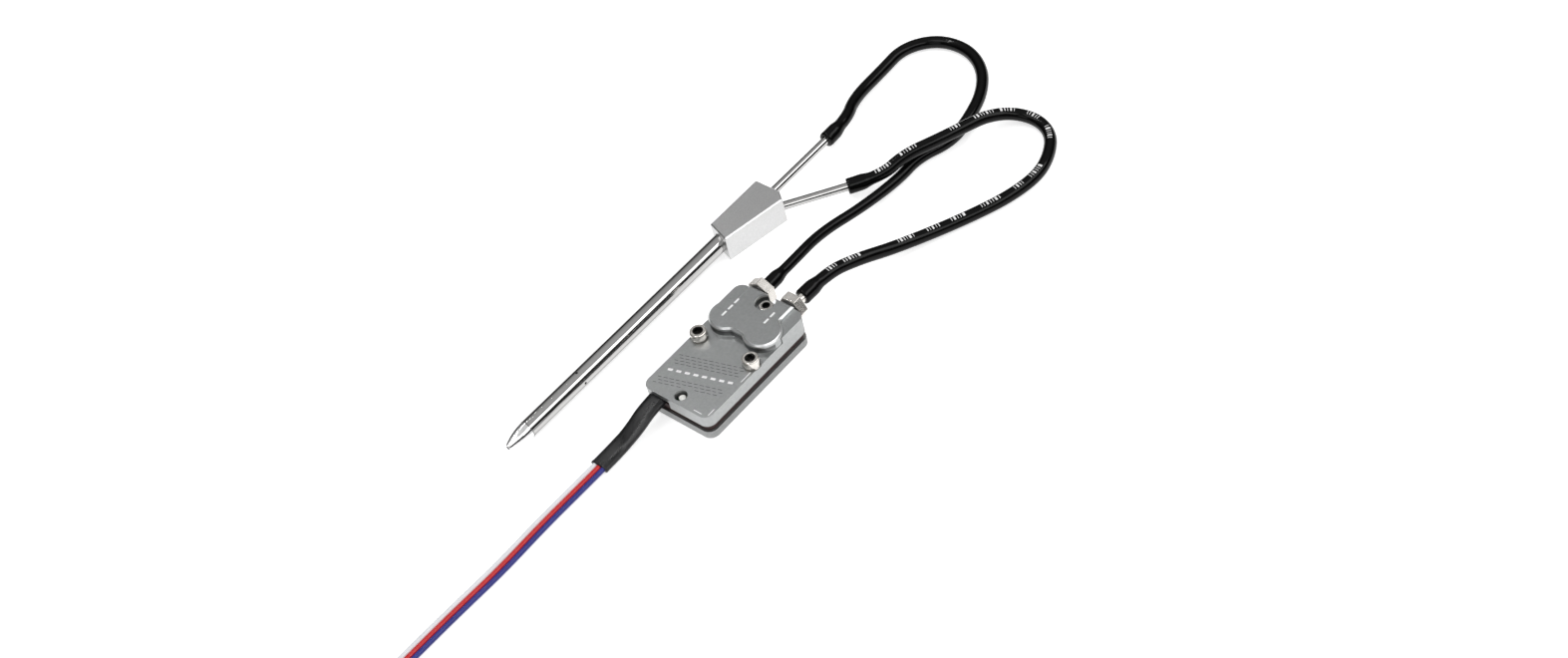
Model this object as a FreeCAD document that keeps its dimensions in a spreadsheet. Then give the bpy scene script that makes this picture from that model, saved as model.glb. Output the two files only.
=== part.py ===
import FreeCAD, Part
import math
import os
import re
import Sketcher
from FreeCAD import Placement, Rotation, Vector

# Pitot-static airspeed probe with its junction block, two pressure hoses, sensor case and lead.
# Millimetres, +Z up. The origin is on the underside of the junction block, below the probe's
# axis. The probe points along -X, and everything rests on Z = 0.

SIZES = {
    # probe
    "tube_od": 4.2, "tube_bore": 3.4, "tube_front": 72.4, "nose_length": 6.0, "nose_face": 1.5,
    "inlet_dia": 0.9, "spigot_length": 3.0, "inner_od": 2.0, "inner_bore": 1.4,
    "static_hole_dia": 0.6, "static_hole_setback": 16.4, "fit_gap": 0.02,
    # junction block
    "block_height": 7.0, "block_front": 8.5, "block_width": 6.25, "block_skew": 1.0,
    "block_chamfer": 0.3, "tube_socket": 6.0, "chamber_dia": 3.2, "chamber_end": 2.8,
    "branch_x": 0.7, "branch_angle": 36.5, "branch_face": 8.66, "branch_face_width": 3.1,
    "branch_root": 3.4, "outlet_reach": 20.8, "branch_reach": 15.2, "hose_overlap": 5.0,
    # sensor case, measured from the middle of its cable end
    "case_x": -51.8, "case_y": -25.4, "case_length": 33.0, "case_width": 18.8,
    "case_corner": 2.2, "base_height": 2.3, "base_chamfer": 0.35, "joint_height": 1.75,
    "joint_inset": 0.6, "deck_rise": 3.05, "shoulder_rise": 1.5, "boss_rise": 2.4,
    "shoulder_run": 8.0, "lobe_setback": 9.0, "lobe_inset": 0.1, "lobe_radius": 4.4,
    "neck_width": 12.5, "waist_run": 3.0, "waist_fillet": 1.8, "neck_fillet": 1.2,
    "boss_chamfer": 0.4, "case_wall": 1.6, "side_wall": 1.3, "end_wall": 4.4, "roof": 1.5,
    "lug_width": 4.2, "lug_depth": 4.0, "base_pocket": 1.3, "ledge": 1.2,
    # cable slot and light well
    "slot_edge": 5.2, "slot_width": 4.9, "slot_height": 1.9, "slot_depth": 3.4,
    "well_x": 2.3, "well_dia": 2.9, "led_dia": 1.5, "led_top": 6.2,
    # screws
    "screw_setback": 16.1, "screw_edge": 1.9, "screw_dia": 2.0, "head_dia": 3.8, "head_height": 2.0,
    "socket_dia": 1.7, "socket_depth": 1.1, "washer_height": 0.5, "washer_dia": 3.7,
    "recess_dia": 4.2, "recess_depth": 0.3, "thread_gap": 0.1, "floor_left": 0.6,
    "centre_setback": 2.2, "centre_dia": 1.6, "centre_head": 3.1, "centre_head_height": 1.5,
    "centre_bore": 4.8, "centre_depth": 2.6, "centre_socket": 1.5,
    # pressure ports and fittings
    "port_shift": 0.5, "port_z": 7.0, "port_dia": 1.2, "port_depth": 4.6, "chamber_bore": 3.0,
    "chamber_top": 8.2, "ring_bore": 4.4, "ring_depth": 0.7, "thread_dia": 3.0,
    "thread_length": 4.2, "seal_height": 0.4, "seal_dia": 4.8, "hex_flats": 5.8,
    "hex_length": 2.2, "nipple_dia": 2.4, "nipple_length": 5.2, "barb_dia": 2.9,
    "barb_length": 2.2, "barb_tip": 2.0, "nipple_bore": 1.2, "dynamic_roll": 27.0,
    "static_roll": 0.0, "dynamic_gap": 0.2, "static_gap": 1.9,
    # electronics
    "board_height": 1.0, "board_gap": 0.2, "chip_size": 5.0, "chip_height": 0.9,
    "chip_x": 12.0, "regulator_x": 18.0, "regulator_size": 2.6, "cell_size": 5.0,
    "cell_height": 1.0, "cell_cap": 2.8, "cell_top": 6.5, "socket_length": 4.6,
    "socket_width": 5.6, "socket_height": 2.0,
    # hoses
    "hose_od": 3.0, "cuff_od": 3.8, "cuff_length": 3.4, "cuff_taper": 2.4, "bore_gap": 0.1,
    # lead
    "sleeve_width": 4.7, "sleeve_height": 1.7, "lead_width": 3.5, "lead_height": 1.17,
    "coil_x": -146.0, "coil_y": -40.3, "coil_outer": 21.5, "turn_pitch": 3.7,
    "coil_z": 0.95, "coil_lead_in": 12.5, "tie_width": 2.5, "tie_strap": 0.3, "tie_gap": 0.15,
    "tie_head": 3.2, "tie_head_height": 2.4, "plug_length": 14.0, "plug_width": 7.9,
    "plug_height": 2.6, "tail_radius": 10.5, "tail_sweep": 110, "contact_pitch": 2.54,
    "contact_width": 1.2, "contact_height": 0.5, "contact_length": 6.0, "window_setback": 5.0,
}

# places that follow from the sizes; the case's X runs from its cable end to its fitting end
DERIVED = {
    "shoulder_x": "case_length - shoulder_run", "lobe_x": "case_length - lobe_setback",
    "lobe_y": "case_width / 2 - lobe_radius - lobe_inset",
    "waist_x": "case_length - lobe_setback - waist_run",
    "cavity_end": "case_length - end_wall", "slot_y": "case_width / 2 - slot_edge",
    "screw_x": "case_length - screw_setback", "screw_y": "case_width / 2 - screw_edge",
    "centre_x": "case_length - centre_setback",
    "port_y": "case_width / 2 - lobe_radius - lobe_inset - port_shift",
}

doc = FreeCAD.newDocument("pitot_tube")
sheet = doc.addObject("Spreadsheet::Sheet", "Sizes")
TABLE = {name: str(number) for name, number in SIZES.items()}
TABLE.update({name: "=" + text for name, text in DERIVED.items()})
for row, (name, text) in enumerate(TABLE.items(), start=1):
    sheet.set("A%d" % row, name)
    sheet.set("B%d" % row, text)
    sheet.setAlias("B%d" % row, name)
doc.recompute()

ALIAS = re.compile(r"\b(" + "|".join(sorted(TABLE, key=len, reverse=True)) + r")\b")
NODES = []


def formula(text):
    """The text with every size written as the sheet's cell."""
    return ALIAS.sub(r"Sizes.\1", str(text))


def value(text):
    """The number that a formula has now."""
    return float(sheet.evalExpression(formula(text)))


def bind(thing, **formulas):
    """Ties properties to formulas: Height, Length, Radius and the like."""
    for name, text in formulas.items():
        thing.setExpression(name, formula(text))
    return thing


def place(thing, x="0", y="0", z="0", turn=None):
    """Puts a thing at (x, y, z); turn is an axis and an angle."""
    if turn is not None:
        axis, angle = turn
        thing.Placement = Placement(Vector(), Rotation(axis, value(angle)))
        thing.setExpression("Placement.Rotation.Angle", formula(angle))
    for name, text in (("x", x), ("y", y), ("z", z)):
        thing.setExpression("Placement.Base." + name, formula(text))
    return thing


def node(thing, label):
    """Marks a finished sub-part; its label names its file."""
    thing.Label = label
    NODES.append(thing)
    return thing


# ---- sketches and PartDesign features ----

def new_body(name):
    return doc.addObject("PartDesign::Body", name)


def sketch_on(body, role, offset="0"):
    """A sketch on one of the body's own origin planes, lifted by offset."""
    plane = next(item for item in body.Origin.OriginFeatures if item.Role == role)
    drawing = body.newObject("Sketcher::SketchObject", body.Name + "_sketch")
    drawing.AttachmentSupport = [(plane, "")]
    drawing.MapMode = "FlatFace"
    drawing.setExpression("AttachmentOffset.Base.z", formula(offset))
    return drawing


def hold(drawing, geometry, point, x, y):
    """Holds a point of the geometry at (x, y)."""
    for kind, other, text in (("DistanceX", -2, x), ("DistanceY", -1, y)):
        if abs(value(text)) < 1e-9:
            drawing.addConstraint(Sketcher.Constraint("PointOnObject", geometry, point, other))
            continue
        index = drawing.addConstraint(
            Sketcher.Constraint(kind, -1, 1, geometry, point, value(text)))
        drawing.setExpression("Constraints[%d]" % index, formula(text))


def outline(drawing, corners):
    """A closed outline of straight sides, each corner held."""
    spots = [Vector(value(x), value(y), 0) for x, y in corners]
    first = drawing.GeometryCount
    for start, end in zip(spots, spots[1:] + spots[:1]):
        drawing.addGeometry(Part.LineSegment(start, end), False)
    count = len(spots)
    for index in range(count):
        following = first + (index + 1) % count
        drawing.addConstraint(
            Sketcher.Constraint("Coincident", first + index, 2, following, 1))
    for index, (x, y) in enumerate(corners):
        hold(drawing, first + index, 1, x, y)
    return drawing


def box_outline(drawing, x0, x1, y0, y1):
    return outline(drawing, [(x0, y0), (x1, y0), (x1, y1), (x0, y1)])


def circle(drawing, x, y, diameter):
    index = drawing.addGeometry(
        Part.Circle(Vector(value(x), value(y), 0), Vector(0, 0, 1), value(diameter) / 2), False)
    hold(drawing, index, 3, x, y)
    held = drawing.addConstraint(Sketcher.Constraint("Diameter", index, value(diameter)))
    drawing.setExpression("Constraints[%d]" % held, formula(diameter))
    return drawing


def pad(body, drawing, height, reverse=False):
    feature = body.newObject("PartDesign::Pad", body.Name + "_pad")
    feature.Profile = drawing
    feature.Reversed = reverse
    bind(feature, Length=height)
    doc.recompute()
    return feature


def pocket(body, drawing, depth, reverse=False):
    """Cuts down from the sketch, or up with reverse, and makes sure that it cut something."""
    before = body.Shape.Volume
    feature = body.newObject("PartDesign::Pocket", body.Name + "_pocket")
    feature.Profile = drawing
    feature.Reversed = reverse
    bind(feature, Length=depth)
    doc.recompute()
    if not body.Shape.Volume < before - 1e-6:
        raise RuntimeError(feature.Name + " cuts nothing")
    return feature


def revolve(body, drawing, kind="PartDesign::Revolution", axis="H_Axis"):
    feature = body.newObject(kind, body.Name + "_turned")
    feature.Profile = drawing
    feature.ReferenceAxis = (drawing, [axis])
    feature.Angle = 360
    doc.recompute()
    return feature


def dress(body, kind, size, wanted):
    """A fillet or chamfer on the edges that wanted picks."""
    base = body.Tip
    names = ["Edge%d" % number
             for number, edge in enumerate(base.Shape.Edges, start=1) if wanted(edge)]
    if not names:
        raise RuntimeError(body.Name + " has no such edge")
    feature = body.newObject(kind, body.Name + "_edges")
    feature.Base = (base, names)
    bind(feature, **{"Radius" if kind.endswith("Fillet") else "Size": size})
    doc.recompute()
    return feature


def upright_at(x, y, near=0.01):
    """Picks vertical edges at (x, y) in the body's own frame."""
    def wanted(edge):
        low, high = edge.BoundBox.ZMin, edge.BoundBox.ZMax
        spot = edge.CenterOfMass
        return (high - low > 0.1 and edge.BoundBox.XLength + edge.BoundBox.YLength < 0.01
                and abs(spot.x - x) < near and abs(abs(spot.y) - y) < near)
    return wanted


def flat_at(z):
    """Picks edges that lie at one height."""
    return lambda edge: edge.BoundBox.ZLength < 1e-6 and abs(edge.CenterOfMass.z - z) < 1e-4


# ---- Part primitives ----

def cylinder(name, diameter, length, axis="z"):
    """A cylinder along z, or along x or y from its end."""
    thing = bind(doc.addObject("Part::Cylinder", name), Radius=f"({diameter}) / 2",
                 Height=length)
    turns = {"x": Rotation(Vector(0, 1, 0), 90), "y": Rotation(Vector(1, 0, 0), -90)}
    if axis in turns:
        thing.Placement = Placement(Vector(), turns[axis])
    return thing


def block(name, length, width, height):
    return bind(doc.addObject("Part::Box", name), Length=length, Width=width, Height=height)


def cut(name, base, tools):
    """The base without its tools."""
    tool = tools[0]
    if len(tools) > 1:
        tool = doc.addObject("Part::MultiFuse", name + "_tools")
        tool.Shapes = tools
    thing = doc.addObject("Part::Cut", name)
    thing.Base = base
    thing.Tool = tool
    return thing


def pair(name, thing):
    """A group of the thing and its mirror image across the plane Y = 0."""
    twin = doc.addObject("Part::Mirroring", name + "_twin")
    twin.Source = thing
    twin.Normal = (0, 1, 0)
    group = doc.addObject("Part::Compound", name)
    group.Links = [thing, twin]
    return group


def in_case(thing):
    """Moves a thing drawn in the case's frame to where the case stands."""
    return place(thing, "case_x", "case_y")


# ---- probe: nose, outer tube, inner tube ----

axis_z = "block_height / 2"

nose = new_body("nose_cone")
shape = sketch_on(nose, "XZ_Plane")
tip, joint = "0 - nose_length", "0"
ogive = "(nose_length ^ 2 + ((tube_od - nose_face) / 2) ^ 2) / (tube_od - nose_face)"
radius = value(ogive)
centre = Vector(0, value("tube_od / 2") - radius, 0)
sides = [
    ((tip, "inlet_dia / 2"), (tip, "nose_face / 2")),
    ((joint, "tube_od / 2"), (joint, "tube_bore / 2 - fit_gap")),
    ((joint, "tube_bore / 2 - fit_gap"), ("spigot_length", "tube_bore / 2 - fit_gap")),
    (("spigot_length", "tube_bore / 2 - fit_gap"), ("spigot_length", "inner_od / 2 + fit_gap")),
    (("spigot_length", "inner_od / 2 + fit_gap"), (joint, "inner_od / 2 + fit_gap")),
    ((joint, "inner_od / 2 + fit_gap"), (joint, "inlet_dia / 2")),
    ((joint, "inlet_dia / 2"), (tip, "inlet_dia / 2")),
]
for start, end in sides:
    shape.addGeometry(Part.LineSegment(Vector(value(start[0]), value(start[1]), 0),
                                       Vector(value(end[0]), value(end[1]), 0)), False)
swing = math.asin(value("nose_length") / radius)
shape.addGeometry(Part.ArcOfCircle(Part.Circle(centre, Vector(0, 0, 1), radius),
                                   math.pi / 2, math.pi / 2 + swing), False)
for first, following in ((1, 2), (2, 3), (3, 4), (4, 5), (5, 6), (6, 0)):
    shape.addConstraint(Sketcher.Constraint("Coincident", first, 2, following, 1))
shape.addConstraint(Sketcher.Constraint("Coincident", 0, 2, 7, 2))
shape.addConstraint(Sketcher.Constraint("Coincident", 7, 1, 1, 1))
for index, (start, end) in enumerate(sides):
    hold(shape, index, 1, *start)
hold(shape, 0, 2, *sides[0][1])
bend = shape.addConstraint(Sketcher.Constraint("Radius", 7, radius))
shape.setExpression("Constraints[%d]" % bend, formula(ogive))
revolve(nose, shape)
node(place(nose, "0 - tube_front", z=axis_z), "nose_cone")

tube_length = "tube_front - block_front + tube_socket"
shell = place(cylinder("tube_outside", "tube_od", tube_length, "x"), "0 - tube_front", z=axis_z)
bore = place(cylinder("tube_inside", "tube_bore", tube_length, "x"), "0 - tube_front", z=axis_z)
station = "static_hole_setback - tube_front"
down = place(cylinder("static_holes_upright", "static_hole_dia", "2 * tube_od"),
             station, "0", axis_z + " - tube_od")
across = place(cylinder("static_holes_across", "static_hole_dia", "2 * tube_od", "y"),
               station, "0 - tube_od", axis_z)
node(cut("outer_static_tube", shell, [bore, down, across]), "outer_static_tube")

branch_sin = "sin(branch_angle)"
branch_cos = "cos(branch_angle)"
half_face = "branch_face_width / 2"
rear_x = f"(branch_x + branch_face * {branch_cos} + {half_face} * {branch_sin})"
rear_y = f"(0 - branch_face * {branch_sin} + {half_face} * {branch_cos})"
heel_x = f"(branch_x + branch_face * {branch_cos} - {half_face} * {branch_sin})"
heel_y = f"(0 - branch_face * {branch_sin} - {half_face} * {branch_cos})"

outlet_end = f"{rear_x} + outlet_reach + hose_overlap"
pipe_length = f"tube_front + {outlet_end}"
pipe = place(cylinder("inner_outside", "inner_od", pipe_length, "x"), "0 - tube_front", z=axis_z)
hole = place(cylinder("inner_inside", "inner_bore", pipe_length, "x"), "0 - tube_front", z=axis_z)
node(cut("inner_pressure_tube", pipe, [hole]), "inner_pressure_tube")

# ---- junction block ----

block_body = new_body("block_body")
shape = outline(sketch_on(block_body, "XY_Plane"), [
    ("block_skew - block_front", "block_width / 2"),
    ("0 - block_skew - block_front", "0 - block_width / 2"),
    (heel_x, heel_y),
    (rear_x, rear_y),
    (rear_x, "block_width / 2"),
])
pad(block_body, shape, "block_height")
dress(block_body, "PartDesign::Chamfer", "block_chamfer",
      lambda edge: flat_at(value("block_height"))(edge) or flat_at(0)(edge))

socket = place(cylinder("tube_socket_bore", "tube_od + 2 * fit_gap",
                        "tube_socket + block_front", "x"), "0 - 2 * block_front",
               z=axis_z)
chamber = place(cylinder("chamber_bore_x", "chamber_dia", "block_front + chamber_end", "x"),
                "0 - block_front", z=axis_z)
through = place(cylinder("inner_tube_bore", "inner_od + 2 * fit_gap", "4 * block_front", "x"),
                "0 - block_front", z=axis_z)


def on_branch(thing, reach):
    """Lays a cylinder along the static branch, starting at reach from the probe's axis."""
    turn = Rotation(Vector(0, 0, 1), -value("branch_angle")) * Rotation(Vector(0, 1, 0), 90)
    thing.Placement = Placement(Vector(), turn)
    return place(thing, f"branch_x + ({reach}) * {branch_cos}",
                 f"0 - ({reach}) * {branch_sin}", axis_z)


branch = on_branch(cylinder("branch_bore", "inner_od + 2 * fit_gap", "2 * branch_face"), "0")
node(cut("junction_block", block_body, [socket, chamber, through, branch]), "junction_block")

outlet_length = "branch_face - branch_root + branch_reach + hose_overlap"
stub = on_branch(cylinder("outlet_outside", "inner_od", outlet_length), "branch_root")
hole = on_branch(cylinder("outlet_inside", "inner_bore", outlet_length), "branch_root")
node(cut("static_outlet_tube", stub, [hole]), "static_outlet_tube")

# ---- sensor case: base, joint seal, lobed upper case ----

joint_z = "base_height"
upper_z = "(base_height + joint_height)"
deck_z = f"({upper_z} + deck_rise)"
shoulder_z = f"({deck_z} + shoulder_rise)"
boss_z = f"({deck_z} + boss_rise)"
roof_z = f"({deck_z} - roof)"
half_width = "case_width / 2"
inner_half = "(case_width / 2 - side_wall)"
lug_inner = f"({half_width} - lug_depth)"
length, half = value("case_length"), value(half_width)


def plate_outline(body, z, inset="0"):
    return box_outline(sketch_on(body, "XY_Plane", z), inset, f"case_length - {inset}",
                       f"{inset} - {half_width}", f"{half_width} - {inset}")


def round_corners(body, inset="0"):
    near, far, side = value(inset), length - value(inset), half - value(inset)
    dress(body, "PartDesign::Fillet", f"case_corner - {inset}",
          lambda edge: upright_at(near, side)(edge) or upright_at(far, side)(edge))


def lugs(body, z, height, reverse=False):
    """Blocks beside the cavity that carry the two case screws."""
    shape = sketch_on(body, "XY_Plane", z)
    for low, high in ((lug_inner, inner_half + " + 0.2"),
                      (f"0 - {inner_half} - 0.2", f"0 - {lug_inner}")):
        box_outline(shape, "screw_x - lug_width / 2", "screw_x + lug_width / 2", low, high)
    pad(body, shape, height, reverse)


def screw_holes(body, z, depth, gap, reverse=False):
    """Holes for the two case screws and the centre screw."""
    shape = sketch_on(body, "XY_Plane", z)
    circle(shape, "screw_x", "screw_y", f"screw_dia + {gap}")
    circle(shape, "screw_x", "0 - screw_y", f"screw_dia + {gap}")
    circle(shape, "centre_x", "0", f"centre_dia + {gap}")
    pocket(body, shape, depth, reverse)


base = new_body("lower_case")
pad(base, plate_outline(base, "0"), "base_height")
round_corners(base)
dress(base, "PartDesign::Chamfer", "base_chamfer", flat_at(0))
shape = box_outline(sketch_on(base, "XY_Plane", joint_z), "case_wall + ledge",
                    "cavity_end - ledge", f"ledge - {inner_half}", f"{inner_half} - ledge")
pocket(base, shape, "base_pocket")
lugs(base, joint_z, "base_pocket", True)
screw_holes(base, joint_z, "base_height - floor_left", "thread_gap")
node(in_case(base), "lower_case")

seal = new_body("joint_seal")
pad(seal, plate_outline(seal, joint_z, "joint_inset"), "joint_height")
round_corners(seal, "joint_inset")
shape = box_outline(sketch_on(seal, "XY_Plane", upper_z), "case_wall", "cavity_end",
                    f"0 - {inner_half}", inner_half)
pocket(seal, shape, "joint_height")
lugs(seal, joint_z, "joint_height")
screw_holes(seal, upper_z, "joint_height", "2 * thread_gap")
node(in_case(seal), "joint_seal")

upper = new_body("upper_case")
pad(upper, plate_outline(upper, upper_z), "deck_rise")
shape = box_outline(sketch_on(upper, "XY_Plane", upper_z), "shoulder_x", "case_length",
                    f"0 - {half_width}", half_width)
pad(upper, shape, "deck_rise + shoulder_rise")
round_corners(upper)
shape = box_outline(sketch_on(upper, "XY_Plane", upper_z), "waist_x", "case_length",
                    "0 - neck_width / 2", "neck_width / 2")
pad(upper, shape, "deck_rise + boss_rise")
shape = sketch_on(upper, "XY_Plane", upper_z)
circle(shape, "lobe_x", "lobe_y", "2 * lobe_radius")
circle(shape, "lobe_x", "0 - lobe_y", "2 * lobe_radius")
pad(upper, shape, "deck_rise + boss_rise")
waist_reach = math.sqrt(value("lobe_radius ^ 2 - (lobe_x - waist_x) ^ 2"))
waist_y = value("lobe_y") - waist_reach
dress(upper, "PartDesign::Fillet", "waist_fillet",
      lambda edge: upright_at(value("waist_x"), waist_y)(edge))
neck_reach = math.sqrt(value("lobe_radius ^ 2 - (neck_width / 2 - lobe_y) ^ 2"))
dress(upper, "PartDesign::Fillet", "neck_fillet",
      lambda edge: upright_at(value("lobe_x") + neck_reach, value("neck_width / 2"))(edge))
dress(upper, "PartDesign::Chamfer", "boss_chamfer", flat_at(value(boss_z)))

cavity = box_outline(sketch_on(upper, "XY_Plane", upper_z), "case_wall", "cavity_end",
                     f"0 - {inner_half}", inner_half)
pocket(upper, cavity, "deck_rise - roof", True)
lugs(upper, upper_z, "deck_rise - roof")
slot = box_outline(sketch_on(upper, "XY_Plane", upper_z), "0 - case_wall", "slot_depth",
                   "slot_y - slot_width / 2", "slot_y + slot_width / 2")
pocket(upper, slot, "slot_height", True)
pocket(upper, circle(sketch_on(upper, "XY_Plane", deck_z), "well_x", "0", "well_dia"),
       "deck_rise")
shape = sketch_on(upper, "XY_Plane", boss_z)
for y in ("screw_y", "0 - screw_y"):
    circle(shape, "screw_x", y, "recess_dia")
pocket(upper, shape, "boss_rise + recess_depth")
screw_holes(upper, upper_z, "boss_rise + deck_rise", "2 * thread_gap", True)
pocket(upper, circle(sketch_on(upper, "XY_Plane", boss_z), "centre_x", "0", "centre_bore"),
       "centre_depth")
for diameter, top in (("ring_bore", f"({roof_z} + ring_depth)"), ("chamber_bore", "chamber_top")):
    shape = sketch_on(upper, "XY_Plane", roof_z)
    for y in ("lobe_y", "0 - lobe_y"):
        circle(shape, "lobe_x", y, diameter)
    pocket(upper, shape, f"{top} - {roof_z}", True)
for diameter, depth in (("thread_dia + thread_gap", "port_depth"),
                        ("port_dia", "case_length - lobe_x")):
    shape = sketch_on(upper, "YZ_Plane", "case_length")
    for y in ("port_y", "0 - port_y"):
        circle(shape, y, "port_z", diameter)
    pocket(upper, shape, depth)
node(in_case(upper), "upper_case")

# ---- board and what is on it ----

board_top = "(base_height + board_height)"
board = new_body("circuit_board")
shape = box_outline(sketch_on(board, "XY_Plane", joint_z), "case_wall + board_gap",
                    "cavity_end - board_gap", f"board_gap - {inner_half}",
                    f"{inner_half} - board_gap")
pad(board, shape, "board_height")
shape = sketch_on(board, "XY_Plane", board_top)
for low, high in ((f"{lug_inner} - board_gap", half_width),
                  (f"0 - {half_width}", f"board_gap - {lug_inner}")):
    box_outline(shape, "screw_x - lug_width / 2 - board_gap",
                "screw_x + lug_width / 2 + board_gap", low, high)
pocket(board, shape, "board_height")
node(in_case(board), "circuit_board")

for label, x, size in (("microcontroller", "chip_x", "chip_size"),
                       ("voltage_regulator", "regulator_x", "regulator_size")):
    chip = block(label, size, size, "chip_height")
    node(place(chip, f"case_x + {x} - {size} / 2", f"case_y - {size} / 2", board_top), label)

for label, side in (("dynamic_pressure_cell", ""), ("static_pressure_cell", "0 - ")):
    cell = new_body(label)
    y = f"{side}lobe_y"
    shape = box_outline(sketch_on(cell, "XY_Plane", board_top), "lobe_x - cell_size / 2",
                        "lobe_x + cell_size / 2", f"{y} - cell_size / 2",
                        f"{y} + cell_size / 2")
    pad(cell, shape, "cell_height")
    pad(cell, circle(sketch_on(cell, "XY_Plane", board_top), "lobe_x", y, "cell_cap"),
        f"cell_top - {board_top}")
    node(in_case(cell), label)

for label, side in (("dynamic_cell_ring", "+"), ("static_cell_ring", "-")):
    spot = ("case_x + lobe_x", f"case_y {side} lobe_y", roof_z)
    disc = place(cylinder(label + "_disc", "ring_bore - 2 * fit_gap", "ring_depth"), *spot)
    hole = place(cylinder(label + "_hole", "cell_cap + 2 * fit_gap", "ring_depth"), *spot)
    node(cut(label, disc, [hole]), label)

led = new_body("status_led")
shape = circle(sketch_on(led, "XY_Plane", board_top), "well_x + board_gap", "0", "led_dia")
pad(led, shape, f"led_top - {board_top}")
node(in_case(led), "status_led")

entry_x = "(case_x + slot_depth - board_gap)"
plug_in = block("lead_socket", "socket_length", "socket_width", "socket_height")
node(place(plug_in, f"{entry_x} + 2 * board_gap", "case_y + slot_y - socket_width / 2",
           board_top), "lead_socket")

# ---- screws and washers ----

def cap_screw(name, diameter, head, head_height, key, x, y, under_head, point_z):
    """A socket head screw standing on its point, head up."""
    screw = new_body(name)
    pad(screw, circle(sketch_on(screw, "XY_Plane", under_head), x, y, head), head_height)
    top = f"({under_head} + {head_height})"
    dress(screw, "PartDesign::Chamfer", f"{head} / 20", flat_at(value(top)))
    pad(screw, circle(sketch_on(screw, "XY_Plane", point_z), x, y, diameter),
        f"{under_head} - {point_z}")
    shape = sketch_on(screw, "XY_Plane", top)
    corners = [(f"{x} + {key} / sqrt(3) * cos({angle})", f"{y} + {key} / sqrt(3) * sin({angle})")
               for angle in range(10, 370, 60)]
    outline(shape, corners)
    pocket(screw, shape, "socket_depth")
    return screw


washer_z = f"({deck_z} - recess_depth)"
point_z = "(floor_left + thread_gap)"
screw = cap_screw("case_screw", "screw_dia", "head_dia", "head_height", "socket_dia",
                  "screw_x", "screw_y", f"({washer_z} + washer_height)", point_z)
node(in_case(pair("case_screws", screw)), "case_screws")

disc = place(cylinder("washer_disc", "washer_dia", "washer_height"), "screw_x", "screw_y",
             washer_z)
hole = place(cylinder("washer_hole", "screw_dia + thread_gap", "washer_height"), "screw_x",
             "screw_y", washer_z)
node(in_case(pair("case_washers", cut("washer", disc, [hole]))), "case_washers")

screw = cap_screw("centre_screw", "centre_dia", "centre_head", "centre_head_height",
                  "centre_socket", "centre_x", "0", f"({boss_z} - centre_depth)", point_z)
node(in_case(screw), "centre_screw")

# ---- hose fittings ----

hex_start = "(case_length + seal_height)"
hex_end = f"({hex_start} + hex_length)"
tip_x = f"({hex_end} + nipple_length)"


def fitting(label, side, roll):
    """A screwed hex fitting with one barb, on the case's end face."""
    piece = new_body(label)
    shape = sketch_on(piece, "YZ_Plane", hex_start)
    corners = [(f"hex_flats / sqrt(3) * cos({roll} + {angle})",
                f"hex_flats / sqrt(3) * sin({roll} + {angle})") for angle in range(0, 360, 60)]
    pad(piece, outline(shape, corners), "hex_length")
    profile = [(f"{hex_start} - seal_height - thread_length", "nipple_bore / 2"),
               (f"{hex_start} - seal_height - thread_length", "thread_dia / 2"),
               (hex_start, "thread_dia / 2"),
               (hex_end, "thread_dia / 2"),
               (hex_end, "nipple_dia / 2"),
               (f"{tip_x} - barb_length", "nipple_dia / 2"),
               (f"{tip_x} - barb_length", "barb_dia / 2"),
               (tip_x, "barb_tip / 2"),
               (tip_x, "nipple_bore / 2")]
    revolve(piece, outline(sketch_on(piece, "XZ_Plane"), profile))
    pocket(piece, circle(sketch_on(piece, "YZ_Plane", tip_x), "0", "0", "nipple_bore"),
           "2 * case_length")
    return node(place(piece, "case_x", f"case_y {side} port_y", "port_z"), label)


fitting("dynamic_fitting", "+", "dynamic_roll")
fitting("static_fitting", "-", "static_roll")

disc = place(cylinder("seal_disc", "seal_dia", "seal_height", "x"), "case_length", "port_y",
             "port_z")
hole = place(cylinder("seal_hole", "thread_dia + thread_gap", "seal_height", "x"),
             "case_length", "port_y", "port_z")
node(in_case(pair("fitting_seals", cut("seal_washer", disc, [hole]))), "fitting_seals")

# ---- hoses, sleeve and lead: runs joined by tangent arcs ----

def route(points):
    """A wire of straight runs with an arc at each corner, and the arcs' radii."""
    spots = [Vector(*point) for point in points]
    runs = [end - start for start, end in zip(spots, spots[1:])]
    edges, radii, start = [], [], spots[0]
    for corner, before, after in zip(spots[1:], runs, runs[1:]):
        reach = 0.45 * min(before.Length, after.Length)
        turn = before.getAngle(after)
        radii.append(reach / math.tan(turn / 2))
        into = corner - Vector(before).normalize() * reach
        out = corner + Vector(after).normalize() * reach
        inward = (into + out) / 2 - corner
        bow = radii[-1] / math.cos(turn / 2) - radii[-1]
        middle = corner + inward.normalize() * bow
        edges += [Part.LineSegment(start, into).toShape(), Part.Arc(into, middle, out).toShape()]
        start = out
    edges.append(Part.LineSegment(start, spots[-1]).toShape())
    return Part.Wire(edges), radii


def swept(label, path, section, area, upright=False):
    """The section carried along the path; its volume must be its area times the length."""
    shell = Part.BRepOffsetAPI.MakePipeShell(path)
    if upright:
        shell.setBiNormalMode(Vector(0, 0, 1))
    shell.add(section)
    shell.build()
    shell.makeSolid()
    solid = shell.shape()
    share = solid.Volume / (area * path.Length)
    print(f"{label}: length {path.Length:.1f}, volume {share:.3f} of section x length")
    return solid


HOSE_SIDES = 12


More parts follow.
